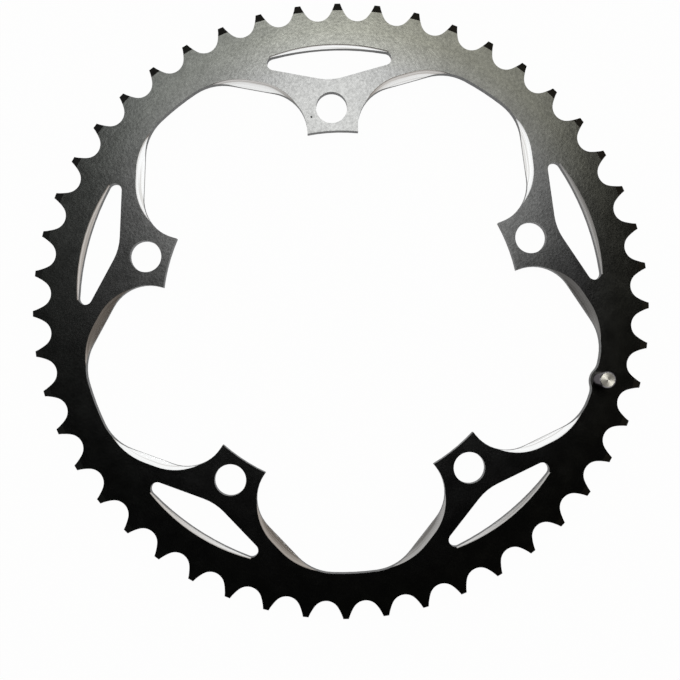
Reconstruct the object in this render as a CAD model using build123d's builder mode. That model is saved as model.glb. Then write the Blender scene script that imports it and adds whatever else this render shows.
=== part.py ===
from build123d import *
import math
import os

# Outer chainring of a double crankset, lying flat with its front face up.
# The origin is the centre of the bolt circle on the rear face, where the crank spider seats.
# +Z is the ring's own axis and +Y runs through one bolting tab. All sizes are in millimetres.

# Chain and crank standards that set the size of the whole ring
chain_pitch = 12.7
tooth_count = 48
tab_count = 5
bolt_circle_dia = 130.0
bolt_hole_dia = 10.1

# Plate in section: a full-thickness body and a tooth band thinned from behind
body_thickness = 3.5
tooth_thickness = 2.2
body_rim_width = 1.75
relief_run = 4.0

# Teeth, measured from the pitch circle of the chain
seat_below_pitch = 4.15
gullet_radius = 4.52
gullet_half_angle = 54.5
flank_radius = 14.0
flank_sweep = 24.0
tip_above_pitch = 1.6
tip_bevel_run = 2.35
tip_bevel_front_drop = 0.6
tip_bevel_rear_drop = 0.4
first_tip_angle = 87.94

# Rim between the tooth roots and the cut-outs
rim_width = 8.7

# Tabs and V struts: a strut's inner edge touches the bolt circle and meets the rim near a scallop's middle
tab_end_margin = 7.5
tab_half_width = 8.15
strut_rim_angle = 9.5
strut_width = 6.8
bore_overlap = 7.5

# Corners of the through cuts: those of the windows are shares of a window's depth
tab_side_fillet = 13.15
scallop_rim_fillet = 16.0
window_vertex_share = 1.63
window_tip_share = 0.2085

# Bright bevels on the struts: the scallop's outline again, set back from the strut edge alone.
# The setback is a share of the web between bolt circle and rim, and the corners grow by multiples of it.
bevel_angle = 45.0
bevel_overrun = 0.15
strut_bevel_share = 0.1268
strut_bevel_tab_growth = 1.783
strut_bevel_rim_growth = 2.05
strut_bevel_tab_gap = 0.35
strut_bevel_rim_gap = 0.55

# Bright bevel on the outer edge of each window: a lens that runs out round the window's two tips
window_bevel_width = 1.25
window_bevel_end_gap = 0.44
window_bevel_end_angle = 29.5
window_bevel_foot_share = 0.8
window_bevel_foot_angle = 132.7

# Lug and chain drop pin, midway between two tabs
lug_height = 1.4
lug_radius = 5.0
lug_fillet = 5.0
pin_seat_margin = 3.05
pin_shank_dia = 4.0
pin_shank_clearance = 0.0
pin_head_dia = 5.1
pin_standout = 10.0
pin_end_chamfer = 0.35

# Radii and angles that follow from the sizes above
pitch_radius = chain_pitch / (2 * math.sin(math.pi / tooth_count))
root_radius = pitch_radius - seat_below_pitch
tip_radius = pitch_radius + tip_above_pitch
tip_bevel_radius = tip_radius - tip_bevel_run
rim_inner_radius = root_radius - rim_width
body_outer_radius = rim_inner_radius + body_rim_width
band_rear = body_thickness - tooth_thickness
bolt_circle_radius = bolt_circle_dia / 2
tab_end_radius = bolt_circle_radius - tab_end_margin
blank_inner_radius = tab_end_radius - bore_overlap
tab_step = 360 / tab_count
strut_lean = math.degrees(math.acos(bolt_circle_radius / rim_inner_radius)) + strut_rim_angle - tab_step / 2
window_edge_distance = bolt_circle_radius + strut_width
window_depth = rim_inner_radius - window_edge_distance / math.cos(math.radians(strut_lean))
window_vertex_fillet = window_vertex_share * window_depth
window_tip_fillet = window_tip_share * window_depth
strut_bevel_setback = strut_bevel_share * (rim_inner_radius - bolt_circle_radius)
strut_bevel_tab_fillet = tab_side_fillet + strut_bevel_tab_growth * strut_bevel_setback
strut_bevel_rim_fillet = scallop_rim_fillet + strut_bevel_rim_growth * strut_bevel_setback
lug_inner_radius = rim_inner_radius - lug_height
pin_base_radius = lug_inner_radius + pin_seat_margin
first_tab = 90.0
first_scallop = first_tab + tab_step / 2
pin_angle = first_tab - 1.5 * tab_step
first_gullet = first_tip_angle + 180 / tooth_count


def polar(radius, degrees):
    """Point at a radius and an angle about the origin."""
    return Vector(radius * math.cos(math.radians(degrees)), radius * math.sin(math.radians(degrees)))


def across(point):
    """The same point on the other side of the X axis."""
    return Vector(point.X, -point.Y)


def along_edge(distance, degrees, radius):
    """Where an edge square to a direction, at a distance from the origin, meets a circle about the origin."""
    return polar(distance, degrees) + polar(math.sqrt(radius**2 - distance**2), degrees - 90)


def scallop_outline(half_width, distance, radius, side_fillet, rim_fillet):
    """Outline of the opening between two tabs, its middle along +X."""
    tab_axis = tab_step / 2
    side = polar(half_width, tab_axis - 90)
    reach = distance / math.cos(math.radians(strut_lean)) + half_width * math.tan(math.radians(strut_lean))
    start = polar(blank_inner_radius, tab_axis) + side
    shoulder = polar(reach, tab_axis) + side
    rim = along_edge(distance, tab_axis + strut_lean, radius)
    with BuildSketch() as outline:
        with BuildLine():
            Polyline(across(rim), across(shoulder), across(start), start, shoulder, rim)
            ThreePointArc(rim, (radius, 0), across(rim))
        make_face()
        fillet(outline.vertices().sort_by_distance(shoulder)[:1], side_fillet)
        fillet(outline.vertices().sort_by_distance(across(shoulder))[:1], side_fillet)
        fillet(outline.vertices().sort_by_distance(rim)[:1], rim_fillet)
        fillet(outline.vertices().sort_by_distance(across(rim))[:1], rim_fillet)
    return outline.sketch


def window_outline():
    """Outline of the window behind a tab, the tab's axis along +X."""
    vertex = Vector(window_edge_distance / math.cos(math.radians(strut_lean)), 0)
    tip = across(along_edge(window_edge_distance, strut_lean, rim_inner_radius))
    with BuildSketch() as outline:
        with BuildLine():
            Polyline(across(tip), vertex, tip)
            ThreePointArc(tip, (rim_inner_radius, 0), across(tip))
        make_face()
        fillet(outline.vertices().sort_by_distance(vertex)[:1], window_vertex_fillet)
        fillet(outline.vertices().sort_by_distance(tip)[:1], window_tip_fillet)
        fillet(outline.vertices().sort_by_distance(across(tip))[:1], window_tip_fillet)
    return outline.sketch


def window_bevel_outline():
    """Face outline of the window's bevel: an arc that leaves the window's own edge by a lens shape."""
    tip_centre = across(along_edge(
        window_edge_distance + window_tip_fillet, strut_lean, rim_inner_radius - window_tip_fillet))
    end = tip_centre + polar(window_tip_fillet + window_bevel_end_gap, window_bevel_end_angle)
    foot = tip_centre + polar(window_tip_fillet * window_bevel_foot_share, window_bevel_foot_angle)
    with BuildSketch() as outline:
        with BuildLine():
            Polyline(across(end), across(foot), foot, end)
            ThreePointArc(end, (rim_inner_radius + window_bevel_width, 0), across(end))
        make_face()
    return outline.sketch


def tooth_gap():
    """One gap between two teeth, its middle along +X: a round gullet and two hollow flanks."""
    gullet_centre = Vector(root_radius + gullet_radius, 0)
    flank_centre = gullet_centre + polar(flank_radius - gullet_radius, -gullet_half_angle)
    flank_start = 180 - gullet_half_angle
    with BuildSketch() as outline:
        with BuildLine():
            CenterArc(gullet_centre, gullet_radius, flank_start, 2 * gullet_half_angle)
            upper_flank = CenterArc(flank_centre, flank_radius, flank_start, -flank_sweep)
            lower_flank = CenterArc(across(flank_centre), flank_radius, -flank_start, flank_sweep)
            Line(upper_flank @ 1, lower_flank @ 1)
        make_face()
    return outline.sketch


with BuildPart() as chainring:
    # turned blank: flat front, rear thinned to the tooth band, tips bevelled on both sides
    with BuildSketch(Plane.XZ):
        with BuildLine():
            Polyline(
                (blank_inner_radius, 0),
                (body_outer_radius, 0),
                (body_outer_radius + relief_run, band_rear),
                (tip_bevel_radius, band_rear),
                (tip_radius, band_rear + tip_bevel_rear_drop),
                (tip_radius, body_thickness - tip_bevel_front_drop),
                (tip_bevel_radius, body_thickness),
                (blank_inner_radius, body_thickness),
                close=True,
            )
        make_face()
    revolve(axis=Axis.Z)

    # teeth
    with BuildSketch():
        with PolarLocations(0, tooth_count, start_angle=first_gullet):
            add(tooth_gap())
    extrude(amount=body_thickness, mode=Mode.SUBTRACT)

    # middle opening: a round bore at the tab ends and the scallops, with the pin's lug left standing in one
    with BuildSketch() as opening:
        with PolarLocations(0, tab_count, start_angle=first_scallop):
            add(scallop_outline(
                tab_half_width, bolt_circle_radius, rim_inner_radius, tab_side_fillet, scallop_rim_fillet))
        Circle(tab_end_radius)
        with Locations(polar(lug_inner_radius + lug_radius, pin_angle)):
            Circle(lug_radius, mode=Mode.SUBTRACT)
        lug_feet = opening.vertices().sort_by_distance(polar(rim_inner_radius, pin_angle))[:2]
        fillet(lug_feet, lug_fillet)
    extrude(amount=body_thickness, mode=Mode.SUBTRACT)

    # windows and bolt holes
    with BuildSketch():
        with PolarLocations(0, tab_count, start_angle=first_tab):
            add(window_outline())
        with PolarLocations(bolt_circle_radius, tab_count, start_angle=first_tab):
            Circle(bolt_hole_dia / 2)
    extrude(amount=body_thickness, mode=Mode.SUBTRACT)

    # bright bevels along the struts
    strut_bevel_depth = strut_bevel_setback / math.tan(math.radians(bevel_angle)) + bevel_overrun
    with BuildSketch(Plane.XY.offset(body_thickness)):
        with PolarLocations(0, tab_count, start_angle=first_scallop):
            add(scallop_outline(
                tab_half_width + strut_bevel_tab_gap, bolt_circle_radius + strut_bevel_setback,
                rim_inner_radius - strut_bevel_rim_gap, strut_bevel_tab_fillet, strut_bevel_rim_fillet))
    extrude(amount=-strut_bevel_depth, taper=bevel_angle, mode=Mode.SUBTRACT)

    # bright bevels on the outer edges of the windows
    window_bevel_depth = window_bevel_width / math.tan(math.radians(bevel_angle)) + bevel_overrun
    with BuildSketch(Plane.XY.offset(body_thickness)):
        with PolarLocations(0, tab_count, start_angle=first_tab):
            add(window_bevel_outline())
    extrude(amount=-window_bevel_depth, taper=bevel_angle, mode=Mode.SUBTRACT)

    # hole for the pin's shank
    with BuildSketch():
        with Locations(polar(pin_base_radius, pin_angle)):
            Circle(pin_shank_dia / 2 + pin_shank_clearance)
    extrude(amount=body_thickness, mode=Mode.SUBTRACT)

with BuildPart() as chain_drop_pin:
    # shank that fills the hole, and the thicker turned length that stands on the front face
    with BuildSketch():
        with Locations(polar(pin_base_radius, pin_angle)):
            Circle(pin_shank_dia / 2)
    extrude(amount=body_thickness)
    with BuildSketch(Plane.XY.offset(body_thickness)):
        with Locations(polar(pin_base_radius, pin_angle)):
            Circle(pin_head_dia / 2)
    extrude(amount=pin_standout)
    chamfer(chain_drop_pin.edges().group_by(Axis.Z)[-1], pin_end_chamfer)

os.makedirs("parts", exist_ok=True)
chainring.part.label = "chainring"
export_step(chainring.part, "parts/chainring.step")
chain_drop_pin.part.label = "chain_drop_pin"
export_step(chain_drop_pin.part, "parts/chain_drop_pin.step")
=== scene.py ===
"""Looks, light and camera for a bicycle chainring that lies flat with its front face up."""

import logging
import math
from dataclasses import dataclass
from enum import Enum

import bpy
from mathutils import Matrix, Vector


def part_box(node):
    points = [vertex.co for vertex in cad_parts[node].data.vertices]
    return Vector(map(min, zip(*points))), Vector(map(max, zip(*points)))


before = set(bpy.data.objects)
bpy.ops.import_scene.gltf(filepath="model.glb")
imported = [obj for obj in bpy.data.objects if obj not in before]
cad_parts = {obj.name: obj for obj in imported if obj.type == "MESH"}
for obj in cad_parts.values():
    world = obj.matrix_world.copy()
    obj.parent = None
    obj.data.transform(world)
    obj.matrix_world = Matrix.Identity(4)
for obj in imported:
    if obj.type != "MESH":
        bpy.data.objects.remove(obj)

MM = 0.001
LOG = logging.getLogger("chainring")

WHITE = (1.0, 1.0, 1.0, 1.0)

# a point times this keeps its X and Y and loses its height
IN_PLANE = (1.0, 1.0, 0.0)

# nearly all of a noise texture lies between these values
NOISE_LOW, NOISE_HIGH = 0.3, 0.7

# at this specular level a shader mirrors just what its IOR says
PLAIN_SHINE = 0.5

# a Mix node's sockets share their names between its types of data, so they go by number
MIX_SHARE = 0
NUMBER_A, NUMBER_B, NUMBER_MIXED = 2, 3, 0
VECTOR_A, VECTOR_B, VECTOR_MIXED = 4, 5, 1
COLOUR_A, COLOUR_B, COLOUR_MIXED = 6, 7, 2


class RingZone(Enum):
    """Surfaces of the ring that differ in finish, numbered as its material slots."""

    FACE = 0
    BEVEL = 1
    WALL = 2


class PinZone(Enum):
    """Surfaces of the pin that differ in finish, numbered as its material slots."""

    END = 0
    SIDE = 1


def linear(hex_colour: str) -> tuple[float, float, float, float]:
    """Turn an sRGB hex colour into linear light.

    Args:
        hex_colour: six hex digits after a hash.

    Returns:
        Linear red, green, blue and an alpha of one.
    """
    parts = [int(hex_colour[i:i + 2], 16) / 255 for i in (1, 3, 5)]
    light = [c / 12.92 if c <= 0.04045 else ((c + 0.055) / 1.055) ** 2.4 for c in parts]
    return (*light, 1.0)


def add_node(
        tree: bpy.types.NodeTree, kind: str, inputs: dict[str | int, object] | None = None,
        **settings: object,
) -> bpy.types.Node:
    """Add one shader node with its settings and links.

    Args:
        tree: node tree that takes the node.
        kind: the node's type without its ShaderNode prefix.
        inputs: values, or sockets to link from, by input name or number.
        settings: properties of the node.

    Returns:
        The new node.
    """
    node = tree.nodes.new(f"ShaderNode{kind}")
    for name, value in settings.items():
        setattr(node, name, value)
    for key, value in (inputs or {}).items():
        if isinstance(value, bpy.types.NodeSocket):
            tree.links.new(value, node.inputs[key])
        else:
            node.inputs[key].default_value = value
    return node


def new_material(name: str) -> tuple[bpy.types.Material, bpy.types.NodeTree]:
    """Make a material with an empty node tree.

    Args:
        name: the material's name.

    Returns:
        The material and its node tree.
    """
    material = bpy.data.materials.new(name)
    material.use_nodes = True
    material.node_tree.nodes.clear()
    return material, material.node_tree


@dataclass(frozen=True)
class BlackAnodised:
    """Bead-blasted aluminium, anodised black: a deep black with a soft, broad, faintly grainy shine.

    Attributes:
        name: the material's name.
        colour: the black of the film.
        ior: refractive index of the sealed film.
        roughness: roughness of the blasted face.
        roughness_spread: how far the roughness strays from that in the clouds.
        dimple_mm: spacing of the beads' dimples as they are drawn.
        dimple_detail: how much finer grain lies in the dimples.
        dimple_depth_mm: depth of the dimples.
        speckle: how far the shine strays from dimple to dimple.
        cloud_mm: size of the faint clouds in the film.
        cloud_detail: how much finer cloud lies in them.
        cloud_shine: share by which the shine strays in the clouds.
        pit_mm: where the small pit in the top tab is.
        pit_core_mm: radius of its dark middle.
        pit_edge_mm: radius at which the face is sound again.
        web_tint: tint of the shine on tabs and struts.
        rim_left_tint: tint of the shine on the rim toward -X.
        rim_right_tint: tint of the shine on the rim toward +X.
        tint_radii_mm: radii between which the web's tint turns into the rim's.
        tint_sides_mm: places along X between which the rim's left tint turns into its right one.
    """

    name: str = "aluminium_bead_blasted_black_anodised"
    colour: str = "#030303"
    ior: float = 1.52
    roughness: float = 0.165
    roughness_spread: float = 0.012
    dimple_mm: float = 0.8
    dimple_detail: float = 1.0
    dimple_depth_mm: float = 0.009
    speckle: float = 0.075
    cloud_mm: float = 5.0
    cloud_detail: float = 3.0
    cloud_shine: float = 0.085
    pit_mm: tuple[float, float] = (-6.65, 62.25)
    pit_core_mm: float = 0.15
    pit_edge_mm: float = 0.5
    web_tint: str = "#FBFDFF"
    rim_left_tint: str = "#F9FFFC"
    rim_right_tint: str = "#FEFFF0"
    tint_radii_mm: tuple[float, float] = (78.0, 90.0)
    tint_sides_mm: tuple[float, float] = (-65.0, 30.0)

    def tint(
            self, tree: bpy.types.NodeTree, place: bpy.types.NodeSocket, radius: bpy.types.NodeSocket,
    ) -> bpy.types.NodeSocket:
        """Tint the shine: yellower toward +X on the rim, greener toward -X, and bluer on the tabs.

        Args:
            tree: the material's node tree.
            place: the point on the ring.
            radius: its distance from the ring's axis.

        Returns:
            The socket with the tint.
        """
        parts = add_node(tree, "SeparateXYZ", {"Vector": place})
        sideways = add_node(tree, "MapRange", {
            "Value": parts.outputs["X"],
            "From Min": self.tint_sides_mm[0] * MM, "From Max": self.tint_sides_mm[1] * MM})
        rim = add_node(tree, "Mix", {
            MIX_SHARE: sideways.outputs["Result"],
            COLOUR_A: linear(self.rim_left_tint), COLOUR_B: linear(self.rim_right_tint)},
            data_type="RGBA")
        outward = add_node(tree, "MapRange", {
            "Value": radius,
            "From Min": self.tint_radii_mm[0] * MM, "From Max": self.tint_radii_mm[1] * MM})
        whole = add_node(tree, "Mix", {
            MIX_SHARE: outward.outputs["Result"],
            COLOUR_A: linear(self.web_tint), COLOUR_B: rim.outputs[COLOUR_MIXED]}, data_type="RGBA")
        return whole.outputs[COLOUR_MIXED]

    def material(self) -> bpy.types.Material:
        """Build the material.

        Returns:
            The finished material.
        """
        material, tree = new_material(self.name)
        place = add_node(tree, "TexCoord").outputs["Object"]
        clouds = add_node(tree, "TexNoise", {
            "Vector": place, "Scale": 1 / (self.cloud_mm * MM), "Detail": self.cloud_detail})
        rough = add_node(tree, "MapRange", {
            "Value": clouds.outputs["Fac"], "From Min": NOISE_LOW, "From Max": NOISE_HIGH,
            "To Min": self.roughness - self.roughness_spread,
            "To Max": self.roughness + self.roughness_spread})
        # the beads' dimples are finer than a pixel, so they are drawn coarser, two to three pixels apart
        dimples = add_node(tree, "TexNoise", {
            "Vector": place, "Scale": 1 / (self.dimple_mm * MM), "Detail": self.dimple_detail})
        bump = add_node(tree, "Bump", {
            "Height": dimples.outputs["Fac"], "Distance": self.dimple_depth_mm * MM, "Strength": 1.0})
        grain = add_node(tree, "MapRange", {
            "Value": dimples.outputs["Fac"], "From Min": NOISE_LOW, "From Max": NOISE_HIGH,
            "To Min": PLAIN_SHINE - self.speckle, "To Max": PLAIN_SHINE + self.speckle}, clamp=False)
        # the film is thicker in some places than in others, which shows as faint clouds
        cloudy = add_node(tree, "MapRange", {
            "Value": clouds.outputs["Fac"], "From Min": NOISE_LOW, "From Max": NOISE_HIGH,
            "To Min": 1.0 - self.cloud_shine, "To Max": 1.0 + self.cloud_shine}, clamp=False)
        shine = add_node(tree, "Math", {
            0: grain.outputs["Result"], 1: cloudy.outputs["Result"]}, operation="MULTIPLY")
        # a small pit in the top tab mirrors nothing of the lamp
        flat = add_node(tree, "VectorMath", {0: place, 1: IN_PLANE}, operation="MULTIPLY")
        pit = (self.pit_mm[0] * MM, self.pit_mm[1] * MM, 0.0)
        from_pit = add_node(tree, "VectorMath", {
            0: flat.outputs["Vector"], 1: pit}, operation="DISTANCE")
        sound = add_node(tree, "MapRange", {
            "Value": from_pit.outputs["Value"],
            "From Min": self.pit_core_mm * MM, "From Max": self.pit_edge_mm * MM},
            interpolation_type="SMOOTHSTEP")
        shine = add_node(tree, "Math", {
            0: shine.outputs["Value"], 1: sound.outputs["Result"]}, operation="MULTIPLY")
        radius = add_node(tree, "VectorMath", {0: flat.outputs["Vector"]}, operation="LENGTH")
        shader = add_node(tree, "BsdfPrincipled", {
            "Base Color": linear(self.colour), "IOR": self.ior, "Roughness": rough.outputs["Result"],
            "Specular IOR Level": shine.outputs["Value"],
            "Specular Tint": self.tint(tree, place, radius.outputs["Value"]),
            "Normal": bump.outputs["Normal"]})
        add_node(tree, "OutputMaterial", {"Surface": shader.outputs["BSDF"]})
        return material


@dataclass(frozen=True)
class MilledAluminium:
    """Aluminium cut bright in straight passes after anodising: mirror-like, streaked along each pass,
    with painted shade in the grooves of the cutter lines.

    Attributes:
        name: the material's name.
        colour: the bare metal on the crests of the cutter lines.
        groove_shade_colour: the metal in their grooves, painted darker as shade.
        crest: heights of the cutter lines between which the painted groove shade turns into the crest's
            colour.
        roughness: roughness of the cut.
        roughness_shares: least and most of that roughness along the lines, as shares of it.
        line_mm: spacing of the cutter lines as they are drawn.
        line_detail: how much finer lines lie between them.
        line_depth_mm: depth of the lines.
        line_length_mm: length of a line.
        passes: tabs round the ring, each with a bevel on both its struts and one in its window.
        strut_lean: degrees by which a strut's pass is turned from the tab's own direction.
        window_from_mm: radius beyond which a bevel belongs to a window.
        straightness: share by which the facets of the passes, not the whole bevel, set the shine.
        crown_mm: depth below the face over which a strut's cut is gently crowned.
        crown_rise: how much flatter the crowned cut is at the face than at that depth.
        lip_mm: depth below the face over which a window's cut rolls over into it.
        lip_rise: how much flatter the rolled cut is at the face.
    """

    name: str = "aluminium_milled_bright"
    colour: str = "#F2F3F3"
    groove_shade_colour: str = "#D6D5D3"
    crest: tuple[float, float] = (0.36, 0.48)
    roughness: float = 0.15
    roughness_shares: tuple[float, float] = (0.8, 1.25)
    line_mm: float = 0.5
    line_detail: float = 1.0
    line_depth_mm: float = 0.028
    line_length_mm: float = 40.0
    passes: int = 5
    strut_lean: float = 13.0
    window_from_mm: float = 83.2
    straightness: float = 0.65
    crown_mm: float = 2.6
    crown_rise: float = 0.5
    lip_mm: float = 0.6
    lip_rise: float = 0.65

    def facing(
            self, tree: bpy.types.NodeTree, place: bpy.types.NodeSocket,
    ) -> tuple[bpy.types.NodeSocket, bpy.types.NodeSocket]:
        """Work out which way the facets of the nearest cutter pass face.

        Args:
            tree: the material's node tree.
            place: the point on the ring.

        Returns:
            The socket with the pass's direction in the plane, as an angle from +X, and a socket that is
            1 on a strut.
        """
        parts = add_node(tree, "SeparateXYZ", {"Vector": place})
        angle = add_node(tree, "Math", {
            0: parts.outputs["Y"], 1: parts.outputs["X"]}, operation="ARCTAN2").outputs["Value"]
        from_tab = add_node(tree, "Math", {0: angle, 1: math.pi / 2}, operation="SUBTRACT")
        half_step = math.pi / self.passes
        aside = add_node(tree, "Math", {
            0: from_tab.outputs["Value"], 1: half_step, 2: -half_step},
            operation="WRAP").outputs["Value"]
        outward = add_node(tree, "Math", {0: angle, 1: aside}, operation="SUBTRACT")
        inward = add_node(tree, "Math", {0: outward.outputs["Value"], 1: math.pi}, operation="ADD")
        flat = add_node(tree, "VectorMath", {0: place, 1: IN_PLANE}, operation="MULTIPLY")
        radius = add_node(tree, "VectorMath", {0: flat.outputs["Vector"]}, operation="LENGTH")
        strut = add_node(tree, "Math", {
            0: radius.outputs["Value"], 1: self.window_from_mm * MM},
            operation="LESS_THAN").outputs["Value"]
        side = add_node(tree, "Math", {0: aside}, operation="SIGN")
        lean = add_node(tree, "Math", {0: side.outputs["Value"], 1: strut}, operation="MULTIPLY")
        turned = add_node(tree, "Math", {
            0: lean.outputs["Value"], 1: -math.radians(self.strut_lean), 2: inward.outputs["Value"]},
            operation="MULTIPLY_ADD")
        return turned.outputs["Value"], strut

    def cut_normal(
            self, tree: bpy.types.NodeTree, place: bpy.types.NodeSocket, top: float,
    ) -> bpy.types.NodeSocket:
        """Bend the bevel's normal toward its cutter pass, flatter near the face.

        Args:
            tree: the material's node tree.
            place: the point on the ring.
            top: height of the ring's front face.

        Returns:
            The socket with the bent normal.
        """
        facing, strut = self.facing(tree, place)
        ahead = add_node(tree, "Math", {0: facing}, operation="COSINE")
        across = add_node(tree, "Math", {0: facing}, operation="SINE")
        height = add_node(tree, "SeparateXYZ", {"Vector": place}).outputs["Z"]
        crown = add_node(tree, "MapRange", {
            "Value": height, "From Min": top - self.crown_mm * MM, "From Max": top + self.crown_mm * MM,
            "To Min": 1.0, "To Max": 1.0 + 2 * self.crown_rise}, interpolation_type="SMOOTHSTEP")
        lip = add_node(tree, "MapRange", {
            "Value": height, "From Min": top - self.lip_mm * MM, "From Max": top,
            "To Min": 1.0, "To Max": 1.0 + self.lip_rise}, interpolation_type="SMOOTHSTEP")
        rise = add_node(tree, "Mix", {
            MIX_SHARE: strut, NUMBER_A: lip.outputs["Result"], NUMBER_B: crown.outputs["Result"]})
        passed = add_node(tree, "CombineXYZ", {
            "X": ahead.outputs["Value"], "Y": across.outputs["Value"], "Z": rise.outputs[NUMBER_MIXED]})
        whole = add_node(tree, "NewGeometry").outputs["Normal"]
        bent = add_node(tree, "Mix", {
            MIX_SHARE: self.straightness, VECTOR_A: whole, VECTOR_B: passed.outputs["Vector"]},
            data_type="VECTOR")
        bent = add_node(tree, "VectorMath", {0: bent.outputs[VECTOR_MIXED]}, operation="NORMALIZE")
        return bent.outputs["Vector"]

    def material(self, top: float) -> bpy.types.Material:
        """Build the material.

        Args:
            top: height of the ring's front face.

        Returns:
            The finished material.
        """
        material, tree = new_material(self.name)
        place = add_node(tree, "TexCoord").outputs["Object"]
        # a cutter line keeps its height, so the pattern is fine in Z and long in X and Y;
        # the real lines are finer than a pixel, so they are drawn one to two pixels apart
        along = 1 / (self.line_length_mm * MM)
        scaled = add_node(tree, "VectorMath", {
            0: place, 1: (along, along, 1 / (self.line_mm * MM))}, operation="MULTIPLY")
        lines = add_node(tree, "TexNoise", {
            "Vector": scaled.outputs["Vector"], "Scale": 1.0, "Detail": self.line_detail}).outputs["Fac"]
        bump = add_node(tree, "Bump", {
            "Height": lines, "Distance": self.line_depth_mm * MM, "Strength": 1.0,
            "Normal": self.cut_normal(tree, place, top)})
        least, most = self.roughness_shares
        rough = add_node(tree, "MapRange", {
            "Value": lines, "From Min": NOISE_LOW, "From Max": NOISE_HIGH,
            "To Min": self.roughness * least, "To Max": self.roughness * most})
        # the grooves between the cutter lines are painted a darker grey as shade, on top of the shading
        # that their bump gives
        crest = add_node(tree, "MapRange", {
            "Value": lines, "From Min": self.crest[0], "From Max": self.crest[1]},
            interpolation_type="SMOOTHSTEP")
        bright = add_node(tree, "Mix", {
            MIX_SHARE: crest.outputs["Result"],
            COLOUR_A: linear(self.groove_shade_colour), COLOUR_B: linear(self.colour)}, data_type="RGBA")
        shader = add_node(tree, "BsdfPrincipled", {
            "Base Color": bright.outputs[COLOUR_MIXED], "Metallic": 1.0,
            "Roughness": rough.outputs["Result"], "Normal": bump.outputs["Normal"]})
        add_node(tree, "OutputMaterial", {"Surface": shader.outputs["BSDF"]})
        return material


@dataclass(frozen=True)
class AnodisedWall:
    """Milled aluminium, anodised black: a duller black than the face's, marked across its thickness.

    Attributes:
        name: the material's name.
        colour: the black of the film.
        ior: refractive index of the sealed film.
        roughness: roughness of the wall.
        roughness_shares: least and most of that roughness along the marks, as shares of it.
        mark_mm: spacing of the cutter's marks as they are drawn.
        mark_length_mm: length of a mark.
        mark_detail: how much finer marks lie between them.
        mark_depth_mm: depth of the marks.
    """

    name: str = "aluminium_milled_black_anodised"
    colour: str = "#0B0B0B"
    ior: float = 1.5
    roughness: float = 0.44
    roughness_shares: tuple[float, float] = (0.9, 1.1)
    mark_mm: float = 0.5
    mark_length_mm: float = 4.0
    mark_detail: float = 2.0
    mark_depth_mm: float = 0.01

    def material(self) -> bpy.types.Material:
        """Build the material.

        Returns:
            The finished material.
        """
        material, tree = new_material(self.name)
        place = add_node(tree, "TexCoord").outputs["Object"]
        # the marks are finer than a pixel, so they are drawn one to two pixels apart
        across = 1 / (self.mark_mm * MM)
        scaled = add_node(tree, "VectorMath", {
            0: place, 1: (across, across, 1 / (self.mark_length_mm * MM))}, operation="MULTIPLY")
        marks = add_node(tree, "TexNoise", {
            "Vector": scaled.outputs["Vector"], "Scale": 1.0, "Detail": self.mark_detail}).outputs["Fac"]
        bump = add_node(tree, "Bump", {
            "Height": marks, "Distance": self.mark_depth_mm * MM, "Strength": 1.0})
        least, most = self.roughness_shares
        rough = add_node(tree, "MapRange", {
            "Value": marks, "From Min": NOISE_LOW, "From Max": NOISE_HIGH,
            "To Min": self.roughness * least, "To Max": self.roughness * most})
        shader = add_node(tree, "BsdfPrincipled", {
            "Base Color": linear(self.colour), "IOR": self.ior, "Roughness": rough.outputs["Result"],
            "Normal": bump.outputs["Normal"]})
        add_node(tree, "OutputMaterial", {"Surface": shader.outputs["BSDF"]})
        return material


@dataclass(frozen=True)
class TurnedSteel:
    """Steel faced on a lathe: rings round the axis that draw a shine out into a bow tie.

    Attributes:
        name: the material's name.
        colour: the bare steel.
        roughness: roughness of the faced end.
        roughness_shares: least and most of that roughness over the rings, as shares of it.
        anisotropy: how far the rings draw a shine out.
        ring_turn: share of a turn from the direction round the axis to that in which the shine is drawn.
        ring_mm: spacing of the rings.
        ring_detail: how much finer rings lie between them.
        ring_depth_mm: depth of the rings.
    """

    name: str = "steel_turned"
    colour: str = "#C4C2BA"
    roughness: float = 0.38
    roughness_shares: tuple[float, float] = (0.85, 1.15)
    anisotropy: float = 0.7
    ring_turn: float = 0.25
    ring_mm: float = 0.12
    ring_detail: float = 2.0
    ring_depth_mm: float = 0.003

    def material(self, axis: Vector) -> bpy.types.Material:
        """Build the material.

        Args:
            axis: a point on the pin's axis.

        Returns:
            The finished material.
        """
        material, tree = new_material(self.name)
        place = add_node(tree, "TexCoord").outputs["Object"]
        from_axis = add_node(tree, "VectorMath", {
            0: place, 1: (axis.x, axis.y, 0.0)}, operation="SUBTRACT")
        flat = add_node(tree, "VectorMath", {
            0: from_axis.outputs["Vector"], 1: IN_PLANE}, operation="MULTIPLY")
        radius = add_node(tree, "VectorMath", {0: flat.outputs["Vector"]}, operation="LENGTH")
        # at a lathe's own spacing the rings are finer than a pixel, and their bow tie is what shows
        rings = add_node(tree, "TexNoise", {
            "W": radius.outputs["Value"], "Scale": 1 / (self.ring_mm * MM), "Detail": self.ring_detail},
            noise_dimensions="1D").outputs["Fac"]
        bump = add_node(tree, "Bump", {
            "Height": rings, "Distance": self.ring_depth_mm * MM, "Strength": 1.0})
        least, most = self.roughness_shares
        rough = add_node(tree, "MapRange", {
            "Value": rings, "From Min": NOISE_LOW, "From Max": NOISE_HIGH,
            "To Min": self.roughness * least, "To Max": self.roughness * most})
        tangent = add_node(tree, "Tangent", direction_type="RADIAL", axis="Z")
        shader = add_node(tree, "BsdfPrincipled", {
            "Base Color": linear(self.colour), "Metallic": 1.0, "Roughness": rough.outputs["Result"],
            "Anisotropic": self.anisotropy, "Anisotropic Rotation": self.ring_turn,
            "Tangent": tangent.outputs["Tangent"], "Normal": bump.outputs["Normal"]})
        add_node(tree, "OutputMaterial", {"Surface": shader.outputs["BSDF"]})
        return material


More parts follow.
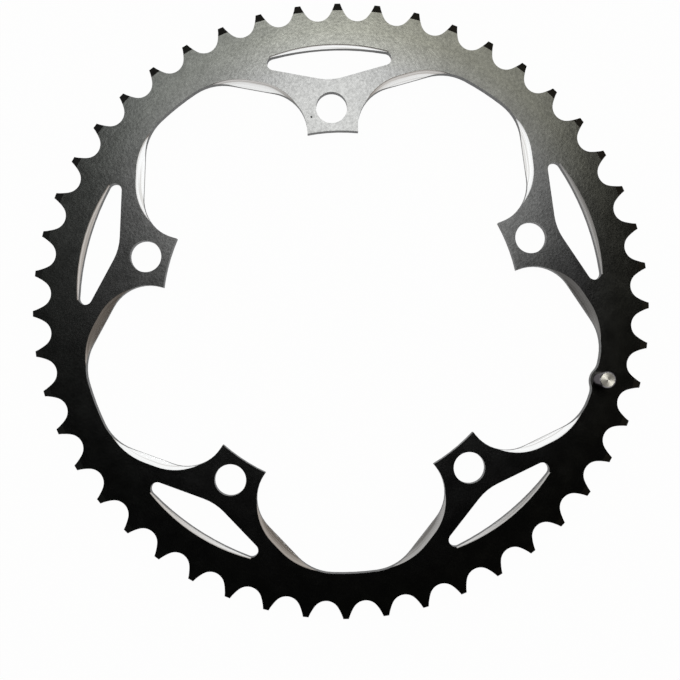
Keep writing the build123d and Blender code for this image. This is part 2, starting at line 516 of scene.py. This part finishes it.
@dataclass(frozen=True)
class ShadedDrawnSteel:
    """Steel drawn through a die, with faint lines along it and painted shade: a dark grey side, darker
    still seen slantwise.

    Attributes:
        name: the material's name.
        colour: the steel, painted a dark grey as the shade on the side.
        slant_shade: painted shade that darkens the shine where the side is seen slantwise.
        roughness: roughness of the side.
        roughness_shares: least and most of that roughness over the lines, as shares of it.
        line_mm: spacing of the die's lines as they are drawn.
        line_length_mm: length of a line.
        line_detail: how much finer lines lie between them.
    """

    name: str = "steel_drawn_painted_shade"
    colour: str = "#747274"
    slant_shade: str = "#9A989A"
    roughness: float = 0.2
    roughness_shares: tuple[float, float] = (0.7, 1.3)
    line_mm: float = 0.3
    line_length_mm: float = 6.0
    line_detail: float = 2.0

    def material(self) -> bpy.types.Material:
        """Build the material.

        Returns:
            The finished material.
        """
        material, tree = new_material(self.name)
        place = add_node(tree, "TexCoord").outputs["Object"]
        # the lines are finer than a pixel, so they are drawn about one pixel apart
        across = 1 / (self.line_mm * MM)
        scaled = add_node(tree, "VectorMath", {
            0: place, 1: (across, across, 1 / (self.line_length_mm * MM))}, operation="MULTIPLY")
        lines = add_node(tree, "TexNoise", {
            "Vector": scaled.outputs["Vector"], "Scale": 1.0, "Detail": self.line_detail})
        least, most = self.roughness_shares
        rough = add_node(tree, "MapRange", {
            "Value": lines.outputs["Fac"], "From Min": NOISE_LOW, "From Max": NOISE_HIGH,
            "To Min": self.roughness * least, "To Max": self.roughness * most})
        # the dark grey colour and the darker slantwise tint are painted shade on the pin's side, which
        # is the same steel as its lighter ends
        shader = add_node(tree, "BsdfPrincipled", {
            "Base Color": linear(self.colour), "Metallic": 1.0, "Roughness": rough.outputs["Result"],
            "Specular Tint": linear(self.slant_shade)})
        add_node(tree, "OutputMaterial", {"Surface": shader.outputs["BSDF"]})
        return material


@dataclass(frozen=True)
class WhitePaper:
    """White paper sweep under the object: even white to the eye, with a faint shadow left on it.

    Attributes:
        name: the material's name.
        colour: the paper as it takes light and shadow.
        white_share: share of plain white that the camera, shiny surfaces and clear ones see.
    """

    name: str = "paper_matt_white"
    colour: str = "#F4F4F2"
    white_share: float = 0.97

    def material(self) -> bpy.types.Material:
        """Build the material.

        Returns:
            The finished material.
        """
        material, tree = new_material(self.name)
        matt = add_node(tree, "BsdfDiffuse", {"Color": linear(self.colour)})
        white = add_node(tree, "Emission", {"Color": WHITE, "Strength": 1.0})
        path = add_node(tree, "LightPath")
        seen = add_node(tree, "Math", {
            0: path.outputs["Is Camera Ray"], 1: path.outputs["Is Glossy Ray"]}, operation="MAXIMUM")
        seen = add_node(tree, "Math", {
            0: seen.outputs["Value"], 1: path.outputs["Is Transmission Ray"]}, operation="MAXIMUM")
        share = add_node(tree, "Math", {
            0: seen.outputs["Value"], 1: self.white_share}, operation="MULTIPLY")
        mixed = add_node(tree, "MixShader", {
            0: share.outputs["Value"], 1: matt.outputs["BSDF"], 2: white.outputs["Emission"]})
        add_node(tree, "OutputMaterial", {"Surface": mixed.outputs["Shader"]})
        return material


@dataclass
class Chainring:
    """The toothed ring: one plate with three finishes, told apart by how each facet is tilted.

    Attributes:
        node: the ring's CAD node.
        pin_node: the pin's CAD node, which tells where the ring's lug is.
        bevel_low: least upward part of a bevel's normal.
        bevel_high: most upward part of a bevel's normal.
        wall_most: most upward or downward part of a wall's normal.
        lug_reach: distance from the lug's middle within which a bevel is black like the face.
        face: finish of the faces and the tooth tips.
        bevel: finish of the bevels.
        wall: finish of the walls.
    """

    node: str = "chainring"
    pin_node: str = "chain_drop_pin"
    bevel_low: float = 0.5
    bevel_high: float = 0.85
    wall_most: float = 0.2
    lug_reach: float = 9.0 * MM
    face: BlackAnodised = BlackAnodised()
    bevel: MilledAluminium = MilledAluminium()
    wall: AnodisedWall = AnodisedWall()

    def zone(self, facet: bpy.types.MeshPolygon, lug: Vector) -> RingZone:
        """Tell which finish a facet has.

        Args:
            facet: one facet of the ring.
            lug: the middle of the pin's lug.

        Returns:
            The facet's zone.
        """
        if self.bevel_low < facet.normal.z < self.bevel_high:
            on_lug = (facet.center - lug).xy.length < self.lug_reach
            return RingZone.FACE if on_lug else RingZone.BEVEL
        if abs(facet.normal.z) < self.wall_most:
            return RingZone.WALL
        return RingZone.FACE

    def dress(self) -> bpy.types.Object:
        """Give every facet its finish.

        Returns:
            The ring's object.
        """
        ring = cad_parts[self.node]
        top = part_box(self.node)[1].z
        pin_low, pin_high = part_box(self.pin_node)
        materials = {
            RingZone.FACE: self.face.material(),
            RingZone.BEVEL: self.bevel.material(top),
            RingZone.WALL: self.wall.material(),
        }
        ring.data.materials.clear()
        for zone in RingZone:
            ring.data.materials.append(materials[zone])
        for facet in ring.data.polygons:
            facet.material_index = self.zone(facet, (pin_low + pin_high) / 2).value
        return ring


@dataclass
class ChainDropPin:
    """The steel pin that stands on the ring's lug, with faced ends and a drawn side painted darker as
    shade.

    Attributes:
        node: the pin's CAD node.
        end_least: least upward or downward part of an end's normal.
        end: finish of the ends.
        side: finish of the side, with its painted shade.
    """

    node: str = "chain_drop_pin"
    end_least: float = 0.9
    end: TurnedSteel = TurnedSteel()
    side: ShadedDrawnSteel = ShadedDrawnSteel()

    def dress(self) -> bpy.types.Object:
        """Give the pin's ends and side their finishes.

        Returns:
            The pin's object.
        """
        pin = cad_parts[self.node]
        low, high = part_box(self.node)
        materials = {
            PinZone.END: self.end.material((low + high) / 2),
            PinZone.SIDE: self.side.material(),
        }
        pin.data.materials.clear()
        for zone in PinZone:
            pin.data.materials.append(materials[zone])
        for facet in pin.data.polygons:
            zone = PinZone.END if abs(facet.normal.z) > self.end_least else PinZone.SIDE
            facet.material_index = zone.value
        return pin


@dataclass(frozen=True)
class LightCard:
    """One of the white cards that stand round the table.

    Attributes:
        azimuth: degrees from +X to the card's middle.
        half_width: degrees from its middle to each side.
        edge: degrees by which each side fades inward and outward.
        strength: its brightness, where 1 is white.
        top: sine of the height at which its upper edge stands.
        fade: how far that edge fades below and above it.
    """

    azimuth: float
    half_width: float
    edge: float
    strength: float
    top: float = 0.5
    fade: float = 0.1


@dataclass(frozen=True)
class LightBand:
    """Dim light of the room, behind the cards, over a range of heights.

    Attributes:
        near: its brightness toward -Y, where 1 is white.
        far: its brightness toward +Y.
        span: parts along Y of a level direction between which the first turns into the second.
        fade: sines of the heights between which it takes over from the band below; the lowest has none.
    """

    near: float
    far: float
    span: tuple[float, float] = (-1.0, 1.0)
    fade: tuple[float, float] | None = None


@dataclass(frozen=True)
class Lamp:
    """One round lamp that hangs above the table and points at the ring.

    Attributes:
        name: the lamp's name.
        place: where it hangs, in metres.
        size: its diameter in metres.
        power: its power in watts.
    """

    name: str
    place: tuple[float, float, float]
    size: float
    power: float


@dataclass
class Studio:
    """Plain studio: a white table, one softbox above, white cards round it and a dark ceiling.

    Attributes:
        floor_radius: radius of the level paper, in metres.
        floor_drop: how far the paper lies below the ring.
        floor_sides: corners round the paper.
        edge_run: how far its turned-up edge runs outward.
        edge_rise: how high that edge rises.
        lamps: discs of light that add up to a softbox with a bright core and a fading rim.
        lamp_colour: colour of their light.
        bands: the room's light, from the table up to the ceiling.
        dim_left_tint: tint of dim light toward -X.
        dim_right_tint: tint of dim light toward +X.
        tint_span: parts along X of a level direction between which the first tint turns into the second.
        cards: the cards round the table.
    """

    floor_radius: float = 5.0
    floor_drop: float = 0.2 * MM
    floor_sides: int = 96
    edge_run: float = 0.5
    edge_rise: float = 0.32
    lamps: tuple[Lamp, ...] = (
        Lamp("softbox", place=(0.0400, 0.3450, 1.4035), size=0.655, power=5.62),
        Lamp("softbox_core", place=(0.0250, 0.3561, 1.3825), size=0.235, power=1.95),
        Lamp("softbox_rim", place=(-0.0350, 0.3450, 1.4100), size=0.9, power=0.6),
        Lamp("softbox_spill", place=(0.0, 0.3640, 1.4200), size=1.1, power=0.19),
    )
    lamp_colour: str = "#FFFEFA"
    bands: tuple[LightBand, ...] = (
        LightBand(near=0.06, far=0.14, span=(-0.6, 0.2)),
        LightBand(near=0.03, far=0.5, fade=(0.12, 0.38)),
        LightBand(near=0.03, far=0.25, span=(-0.95, -0.3), fade=(0.55, 0.68)),
        LightBand(near=0.004, far=0.004, fade=(0.7, 0.86)),
    )
    dim_left_tint: str = "#FFFAF5"
    dim_right_tint: str = "#FFEBD8"
    tint_span: tuple[float, float] = (-0.75, 0.75)
    cards: tuple[LightCard, ...] = (
        LightCard(azimuth=5.0, half_width=15.0, edge=6.0, strength=1.12),
        LightCard(azimuth=87.5, half_width=34.5, edge=9.0, strength=1.08),
        LightCard(azimuth=142.0, half_width=14.0, edge=5.0, strength=0.22),
        LightCard(azimuth=174.0, half_width=15.0, edge=6.0, strength=1.14),
        LightCard(azimuth=197.0, half_width=13.0, edge=4.0, strength=0.34),
        LightCard(azimuth=270.0, half_width=33.0, edge=9.0, strength=0.95, top=0.47, fade=0.18),
        LightCard(azimuth=270.0, half_width=9.0, edge=4.0, strength=1.1, top=0.45),
        LightCard(azimuth=347.0, half_width=14.0, edge=4.0, strength=0.6),
    )

    def floor(self) -> bpy.types.Object:
        """Lay the paper under the object, turned up all round at its far edge.

        Returns:
            The floor's object.
        """
        sides = self.floor_sides
        turns = [2 * math.pi * i / sides for i in range(sides)]
        outlines = (
            (self.floor_radius, -self.floor_drop),
            (self.floor_radius + self.edge_run, self.edge_rise),
        )
        corners = [
            (radius * math.cos(turn), radius * math.sin(turn), height)
            for radius, height in outlines for turn in turns]
        edge = [(i, (i + 1) % sides, sides + (i + 1) % sides, sides + i) for i in range(sides)]
        mesh = bpy.data.meshes.new("paper_sweep")
        mesh.from_pydata(corners, [], [tuple(range(sides)), *edge])
        floor = bpy.data.objects.new("paper_sweep", mesh)
        floor.data.materials.append(WhitePaper().material())
        bpy.context.scene.collection.objects.link(floor)
        return floor

    def hang_lamps(self) -> list[bpy.types.Object]:
        """Hang the softbox's discs of light and aim them at the ring.

        Returns:
            The lamps' objects.
        """
        hung = []
        for lamp in self.lamps:
            light = bpy.data.lights.new(lamp.name, "AREA")
            light.shape = "DISK"
            light.size = lamp.size
            light.energy = lamp.power
            light.color = linear(self.lamp_colour)[:3]
            hanger = bpy.data.objects.new(lamp.name, light)
            hanger.location = lamp.place
            hanger.rotation_euler = Vector(lamp.place).to_track_quat("Z", "Y").to_euler()
            bpy.context.scene.collection.objects.link(hanger)
            hung.append(hanger)
        return hung

    def room_light(
            self, tree: bpy.types.NodeTree, level: bpy.types.NodeSocket, height: bpy.types.NodeSocket,
    ) -> bpy.types.NodeSocket:
        """Lay the room's bands of light over each other.

        Args:
            tree: the world's node tree.
            level: the level direction's part along Y.
            height: the sine of the height.

        Returns:
            The socket with the room's brightness.
        """
        light = None
        for band in self.bands:
            here = add_node(tree, "MapRange", {
                "Value": level, "From Min": band.span[0], "From Max": band.span[1],
                "To Min": band.near, "To Max": band.far})
            if light is not None:
                here = add_node(tree, "MapRange", {
                    "Value": height, "From Min": band.fade[0], "From Max": band.fade[1],
                    "To Min": light, "To Max": here.outputs["Result"]}, interpolation_type="SMOOTHSTEP")
            light = here.outputs["Result"]
        return light

    def card_light(
            self, card: LightCard, tree: bpy.types.NodeTree, level: bpy.types.NodeSocket,
            height: bpy.types.NodeSocket,
    ) -> bpy.types.NodeSocket:
        """Paint one card, with soft sides and a soft upper edge.

        Args:
            card: the card.
            tree: the world's node tree.
            level: the level direction.
            height: the sine of the height.

        Returns:
            The socket with the card's brightness.
        """
        turn = math.radians(card.azimuth)
        toward = add_node(tree, "VectorMath", {
            0: level, 1: (math.cos(turn), math.sin(turn), 0.0)}, operation="DOT_PRODUCT")
        share = add_node(tree, "MapRange", {
            "Value": toward.outputs["Value"],
            "From Min": math.cos(math.radians(card.half_width + card.edge)),
            "From Max": math.cos(math.radians(card.half_width - card.edge)),
            "To Min": 0.0, "To Max": card.strength}, interpolation_type="SMOOTHSTEP")
        below = add_node(tree, "MapRange", {
            "Value": height, "From Min": card.top - card.fade, "From Max": card.top + card.fade,
            "To Min": 1.0, "To Max": 0.0}, interpolation_type="SMOOTHSTEP")
        shown = add_node(tree, "Math", {
            0: share.outputs["Result"], 1: below.outputs["Result"]}, operation="MULTIPLY")
        return shown.outputs["Value"]

    def surroundings(self) -> bpy.types.World:
        """Paint the room and the cards on the world.

        Returns:
            The world.
        """
        world = bpy.data.worlds.new("studio")
        world.use_nodes = True
        tree = world.node_tree
        tree.nodes.clear()
        way = add_node(tree, "TexCoord").outputs["Generated"]
        height = add_node(tree, "SeparateXYZ", {"Vector": way}).outputs["Z"]
        flat = add_node(tree, "VectorMath", {0: way, 1: IN_PLANE}, operation="MULTIPLY")
        level = add_node(tree, "VectorMath", {
            0: flat.outputs["Vector"]}, operation="NORMALIZE").outputs["Vector"]
        parts = add_node(tree, "SeparateXYZ", {"Vector": level})
        light = self.room_light(tree, parts.outputs["Y"], height)
        for card in self.cards:
            shown = self.card_light(card, tree, level, height)
            light = add_node(tree, "Math", {0: light, 1: shown}, operation="MAXIMUM").outputs["Value"]
        sideways = add_node(tree, "MapRange", {
            "Value": parts.outputs["X"], "From Min": self.tint_span[0], "From Max": self.tint_span[1]})
        dim = add_node(tree, "Mix", {
            MIX_SHARE: sideways.outputs["Result"],
            COLOUR_A: linear(self.dim_left_tint), COLOUR_B: linear(self.dim_right_tint)},
            data_type="RGBA")
        tint = add_node(tree, "Mix", {
            MIX_SHARE: light, COLOUR_A: dim.outputs[COLOUR_MIXED], COLOUR_B: WHITE}, data_type="RGBA")
        back = add_node(tree, "Background", {"Color": tint.outputs[COLOUR_MIXED], "Strength": light})
        add_node(tree, "OutputWorld", {"Surface": back.outputs["Background"]})
        bpy.context.scene.world = world
        return world


@dataclass
class PhotoCamera:
    """Camera above the ring, turned and placed as the photograph's was.

    Attributes:
        lens: focal length in millimetres.
        sensor: width of its sensor in millimetres.
        clip_start: nearest distance that it sees, in metres.
        clip_end: farthest distance that it sees, in metres.
        aim_height: height of the ring's front face.
        tilt: degrees that the ring is turned about X, as the camera sees it.
        pan: degrees that the ring is turned about Y, as the camera sees it.
        roll: degrees that the ring is turned about Z, as the camera sees it.
        offset: where the middle of that face stands, as the camera sees it.
    """

    lens: float = 63.53
    sensor: float = 36.0
    clip_start: float = 0.01
    clip_end: float = 200.0
    aim_height: float = 3.5 * MM
    tilt: float = -1.3
    pan: float = 0.6238
    roll: float = 2.8631
    offset: tuple[float, float, float] = (0.5589 * MM, 9.7663 * MM, -383.875 * MM)

    def place(self) -> bpy.types.Object:
        """Make the camera and set it as the scene's own.

        Returns:
            The camera's object.
        """
        data = bpy.data.cameras.new("photo_camera")
        data.lens = self.lens
        data.sensor_width = self.sensor
        data.clip_start = self.clip_start
        data.clip_end = self.clip_end
        camera = bpy.data.objects.new("photo_camera", data)
        turn = (Matrix.Rotation(-math.radians(self.roll), 3, "Z")
                @ Matrix.Rotation(-math.radians(self.tilt), 3, "X")
                @ Matrix.Rotation(-math.radians(self.pan), 3, "Y"))
        stand = Vector((0.0, 0.0, self.aim_height)) - turn @ Vector(self.offset)
        camera.matrix_world = Matrix.Translation(stand) @ turn.to_4x4()
        bpy.context.scene.collection.objects.link(camera)
        bpy.context.scene.camera = camera
        return camera


def main() -> None:
    """Dress the object, set the studio and the camera, and log the names of what was made."""
    logging.basicConfig(level=logging.INFO, format="%(name)s: %(message)s")
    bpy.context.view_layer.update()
    for piece in (Chainring(), ChainDropPin()):
        dressed = piece.dress()
        LOG.info("%s dressed with %s", dressed.name, [m.name for m in dressed.data.materials])
    studio = Studio()
    LOG.info("floor %s, world %s", studio.floor().name, studio.surroundings().name)
    LOG.info("lamps %s", [lamp.name for lamp in studio.hang_lamps()])
    LOG.info("camera %s", PhotoCamera().place().name)
    bpy.context.scene.view_settings.view_transform = "Standard"


if __name__ == "__main__":
    main()
